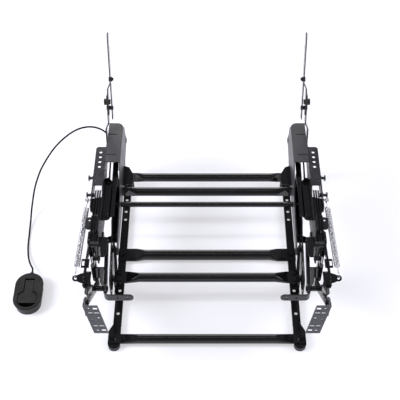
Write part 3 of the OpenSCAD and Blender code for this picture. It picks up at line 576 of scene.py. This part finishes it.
class RECLINER_PG_spring(bpy.types.PropertyGroup):
    """Sizes of the footrest springs."""

    wire: bpy.props.FloatProperty(
        name="Wire", description="Wire diameter", default=2.6 * MM, unit="LENGTH")
    coil: bpy.props.FloatProperty(
        name="Coil", description="Outer diameter of the coil", default=15 * MM, unit="LENGTH")
    pitch: bpy.props.FloatProperty(
        name="Pitch", description="Distance from one turn to the next", default=4.0 * MM, unit="LENGTH")
    hook: bpy.props.FloatProperty(
        name="Hook", description="Length of each end hook", default=26 * MM, unit="LENGTH")
    loop: bpy.props.FloatProperty(
        name="Loop", description="Radius of a hook's loop at the middle of the wire", default=7 * MM,
        unit="LENGTH")
    loop_inset: bpy.props.FloatProperty(
        name="Loop inset", description="From the end of the spring's solid to the middle of the loop",
        default=8.4 * MM, unit="LENGTH")
    folded: bpy.props.FloatProperty(
        name="Folded length", description="Share of its length that a spring keeps with the footrest out",
        default=0.55, min=0.1, max=1.0)


class RECLINER_PG_stack(bpy.types.PropertyGroup):
    """Sizes of the bent flanges and stiffeners in the side stacks, in millimetres."""

    gauge: bpy.props.FloatProperty(name="Sheet", description="Sheet thickness in mm", default=3.0)
    link_flange: bpy.props.FloatProperty(
        name="Link flange", description="Width of the long link's flange in mm", default=16.0)
    flap_flange: bpy.props.FloatProperty(
        name="Flap flange", description="Width of the flap bracket's flange in mm", default=9.0)
    apron: bpy.props.FloatProperty(
        name="Apron", description="Depth of the apron under the main link's flange in mm", default=45.0)
    rib: bpy.props.FloatProperty(
        name="Rib", description="Height of the ribs above the side shelf in mm", default=16.0)


class RECLINER_PG_cable(bpy.types.PropertyGroup):
    """Size of the release cable."""

    diameter: bpy.props.FloatProperty(
        name="Diameter", description="Outer diameter of the sheath", default=5 * MM, unit="LENGTH")


class RECLINER_PG_stage(bpy.types.PropertyGroup):
    """Camera, floor and surrounding light."""

    camera_height: bpy.props.FloatProperty(
        name="Camera height", description="Above the floor rails", default=1.945, unit="LENGTH")
    camera_back: bpy.props.FloatProperty(
        name="Camera distance", description="In front of the middle of the base", default=1.432,
        unit="LENGTH")
    camera_pitch: bpy.props.FloatProperty(
        name="Camera pitch", description="Downward tilt", default=math.radians(50), subtype="ANGLE")
    focal_px: bpy.props.FloatProperty(
        name="Focal length", description="In pixels of the 400 pixel frame", default=845.0)
    centre_px: bpy.props.FloatProperty(
        name="Middle plane", description="Pixel column of the object's middle plane", default=207.0)
    floor_colour: bpy.props.StringProperty(
        name="Floor colour", description="sRGB hex", default="#ececfb")
    floor_reach: bpy.props.FloatProperty(
        name="Floor reach", description="From the object to each edge of the floor", default=6.0,
        unit="LENGTH")
    floor_glow: bpy.props.FloatProperty(
        name="Floor glow", description="Share of plain white in the floor near the object", default=0.5)
    fade_near: bpy.props.FloatProperty(
        name="Fade start", description="Distance at which the floor starts to fade to plain white",
        default=0.9, unit="LENGTH")
    fade_far: bpy.props.FloatProperty(
        name="Fade end", description="Distance from which the floor is plain white", default=2.2,
        unit="LENGTH")
    world_colour: bpy.props.StringProperty(
        name="World colour", description="Even surrounding light, sRGB hex", default="#f6f7ff")
    world_light: bpy.props.FloatProperty(
        name="World light", description="Strength of the even surrounding light", default=0.22)
    wall_top: bpy.props.FloatProperty(
        name="Wall top", description="Angle above the horizon to which the wall is plain white",
        default=math.radians(14), subtype="ANGLE")
    ceiling: bpy.props.FloatProperty(
        name="Ceiling", description="Angle above the horizon from which the ceiling is dim",
        default=math.radians(18), subtype="ANGLE")


# Pieces

class RECLINER_OT_coat_frame(bpy.types.Operator):
    """Give the base, links and tubes the gloss black coat"""

    bl_idname = "recliner.coat_frame"
    bl_label = "Coat frame and links"

    def execute(self, context):
        others = (SATIN_NODES + BRACKET_NODES + FOOTREST_NODES + ZINC_NODES + PLASTIC_NODES
                  + REPLACED_NODES)
        names = [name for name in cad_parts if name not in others]
        dress(names, gloss_coat(), context.scene.recliner_finish.edge_radius)
        return {"FINISHED"}


class RECLINER_OT_coat_plates(bpy.types.Operator):
    """Give the seat rails, side brackets and footrest plates their greyer coats, whose greys are painted
    sheen and light
    """

    bl_idname = "recliner.coat_plates"
    bl_label = "Coat plates"

    def execute(self, context):
        edge = context.scene.recliner_finish.edge_radius
        dress(SATIN_NODES, satin_painted_sheen_coat(), edge)
        dress(BRACKET_NODES, semi_gloss_painted_sheen_coat(), edge)
        dress(FOOTREST_NODES, footrest_lit_coat(), edge)
        return {"FINISHED"}


class RECLINER_OT_plate_zinc(bpy.types.Operator):
    """Give the small hardware a zinc finish"""

    bl_idname = "recliner.plate_zinc"
    bl_label = "Zinc pieces"

    def execute(self, context):
        dress(ZINC_NODES, bright_zinc(), context.scene.recliner_finish.edge_radius)
        return {"FINISHED"}


class RECLINER_OT_mould_plastic(bpy.types.Operator):
    """Give the handle, knobs and feet the moulded plastic finish"""

    bl_idname = "recliner.mould_plastic"
    bl_label = "Plastic pieces"

    def execute(self, context):
        # Moulded edges are twice as round as sheared ones.
        dress(PLASTIC_NODES, moulded_abs(), 2 * context.scene.recliner_finish.edge_radius)
        return {"FINISHED"}


class RECLINER_OT_wind_springs(bpy.types.Operator):
    """Wind the two footrest springs with their end hooks"""

    bl_idname = "recliner.wind_springs"
    bl_label = "Wind springs"

    def execute(self, context):
        size = context.scene.recliner_spring
        up = Vector((0, 0, 1))
        radius = (size.coil - size.wire) / 2
        for side, sign in SIDES:
            node = "spring_" + side
            # The ends of the solid's box give the middles of the two loops.
            low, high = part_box(node)
            middle_z = (low.z + high.z) / 2
            rear = Vector((sign * SPRING_PIN_X * MM, high.y - size.loop_inset, middle_z))
            front = Vector((sign * CRANK_EAR_X * MM, low.y + size.loop_inset, middle_z))
            along = (front - rear).normalized()
            across = along.cross(up)
            coil_length = (front - rear).length - 2 * size.hook
            steps = round(coil_length / size.pitch) * COIL_STEPS
            points = [rear + size.loop * turned(angle, -along, up) for angle in HOOK_ANGLES]
            for i in range(steps + 1):
                middle = rear + along * (size.hook + coil_length * i / steps)
                points.append(middle + radius * turned(360 * i / COIL_STEPS, up, across))
            points += [front + size.loop * turned(angle, along, up) for angle in reversed(HOOK_ANGLES)]
            spring = to_mesh(tube_from_points("wound_spring_" + side, points, size.wire / 2, False))
            spring.data.materials.append(bright_zinc())
            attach(spring, "springs")
            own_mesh(spring)
            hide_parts(node)
        return {"FINISHED"}


class RECLINER_OT_bend_flanges(bpy.types.Operator):
    """Bend the flanges and aprons of the links and the flap brackets"""

    bl_idname = "recliner.bend_flanges"
    bl_label = "Link flanges"

    def execute(self, context):
        press_pieces(LINK_PIECES, context.scene)
        return {"FINISHED"}


class RECLINER_OT_fit_braces(bpy.types.Operator):
    """Fit the strips, braces, ribs, tabs, guards and gussets of the seat carriage"""

    bl_idname = "recliner.fit_braces"
    bl_label = "Carriage braces"

    def execute(self, context):
        press_pieces(CARRIAGE_PIECES, context.scene)
        return {"FINISHED"}


class RECLINER_OT_lay_cable(bpy.types.Operator):
    """Lay the release cable from its ferrule to the handle"""

    bl_idname = "recliner.lay_cable"
    bl_label = "Lay cable"

    def execute(self, context):
        diameter = context.scene.recliner_cable.diameter
        cable = tube_from_points("sheathed_cable", CABLE_ROUTE, diameter / 2, True)
        cable.data.materials.append(sheath_pvc())
        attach(cable, "base")
        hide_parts("release_cable")
        return {"FINISHED"}


class RECLINER_OT_set_stage(bpy.types.Operator):
    """Set the camera, the pale floor and the studio lights"""

    bl_idname = "recliner.set_stage"
    bl_label = "Set stage"

    def execute(self, context):
        stage = context.scene.recliner_stage
        lens = bpy.data.cameras.new("Camera")
        lens.sensor_width = 36.0
        lens.lens = stage.focal_px / PHOTO_PX * lens.sensor_width
        lens.shift_x = -(stage.centre_px - PHOTO_PX / 2) / PHOTO_PX
        lens.clip_end = 50.0
        camera = bpy.data.objects.new("Camera", lens)
        camera.location = (0, -stage.camera_back, stage.camera_height)
        camera.rotation_euler = (math.pi / 2 - stage.camera_pitch, 0, 0)
        context.collection.objects.link(camera)
        context.scene.camera = camera

        reach = stage.floor_reach
        mesh = bpy.data.meshes.new("Floor")
        mesh.from_pydata([(-reach, -reach, FLOOR_Z), (reach, -reach, FLOOR_Z), (reach, reach, FLOOR_Z),
                          (-reach, reach, FLOOR_Z)], [], [(0, 1, 2, 3)])
        floor = bpy.data.objects.new("Floor", mesh)
        floor.data.materials.append(studio_paper(stage))
        context.collection.objects.link(floor)

        for name, place, size, power in LAMPS:
            lamp = bpy.data.lights.new(name, "AREA")
            lamp.shape = "RECTANGLE"
            lamp.size, lamp.size_y = size
            lamp.energy = power
            holder = bpy.data.objects.new(name, lamp)
            holder.location = place
            holder.rotation_euler = (Vector(LAMP_AIM) - Vector(place)).to_track_quat("-Z", "Y").to_euler()
            context.collection.objects.link(holder)

        context.scene.world = studio_world(stage)
        context.scene.view_settings.view_transform = "Standard"
        return {"FINISHED"}


class RECLINER_PT_panel(bpy.types.Panel):
    """Lists the steps that dress the mechanism, and their settings"""

    bl_idname = "RECLINER_PT_panel"
    bl_label = "Recliner mechanism"
    bl_space_type = "VIEW_3D"
    bl_region_type = "UI"
    bl_category = "Recliner"

    def draw(self, context):
        for operator in OPERATORS:
            self.layout.operator(operator.bl_idname)
        for group in GROUPS:
            settings = getattr(context.scene, group)
            box = self.layout.box()
            for name in settings.bl_rna.properties.keys():
                if name not in ("rna_type", "name"):
                    box.prop(settings, name)


GROUPS = {
    "recliner_finish": RECLINER_PG_finish,
    "recliner_spring": RECLINER_PG_spring,
    "recliner_stack": RECLINER_PG_stack,
    "recliner_cable": RECLINER_PG_cable,
    "recliner_stage": RECLINER_PG_stage,
}
OPERATORS = (
    RECLINER_OT_set_stage,
    RECLINER_OT_lay_cable,
    RECLINER_OT_wind_springs,
    RECLINER_OT_bend_flanges,
    RECLINER_OT_fit_braces,
    RECLINER_OT_coat_frame,
    RECLINER_OT_coat_plates,
    RECLINER_OT_plate_zinc,
    RECLINER_OT_mould_plastic,
)


def register():
    for cls in (*GROUPS.values(), *OPERATORS, RECLINER_PT_panel):
        bpy.utils.register_class(cls)
    for name, group in GROUPS.items():
        setattr(bpy.types.Scene, name, bpy.props.PointerProperty(type=group))


def unregister():
    for name in GROUPS:
        delattr(bpy.types.Scene, name)
    for cls in reversed((*GROUPS.values(), *OPERATORS, RECLINER_PT_panel)):
        bpy.utils.unregister_class(cls)


def main():
    register()
    for operator in OPERATORS:
        family, step = operator.bl_idname.split(".")
        getattr(getattr(bpy.ops, family), step)()


if __name__ == "__main__":
    main()
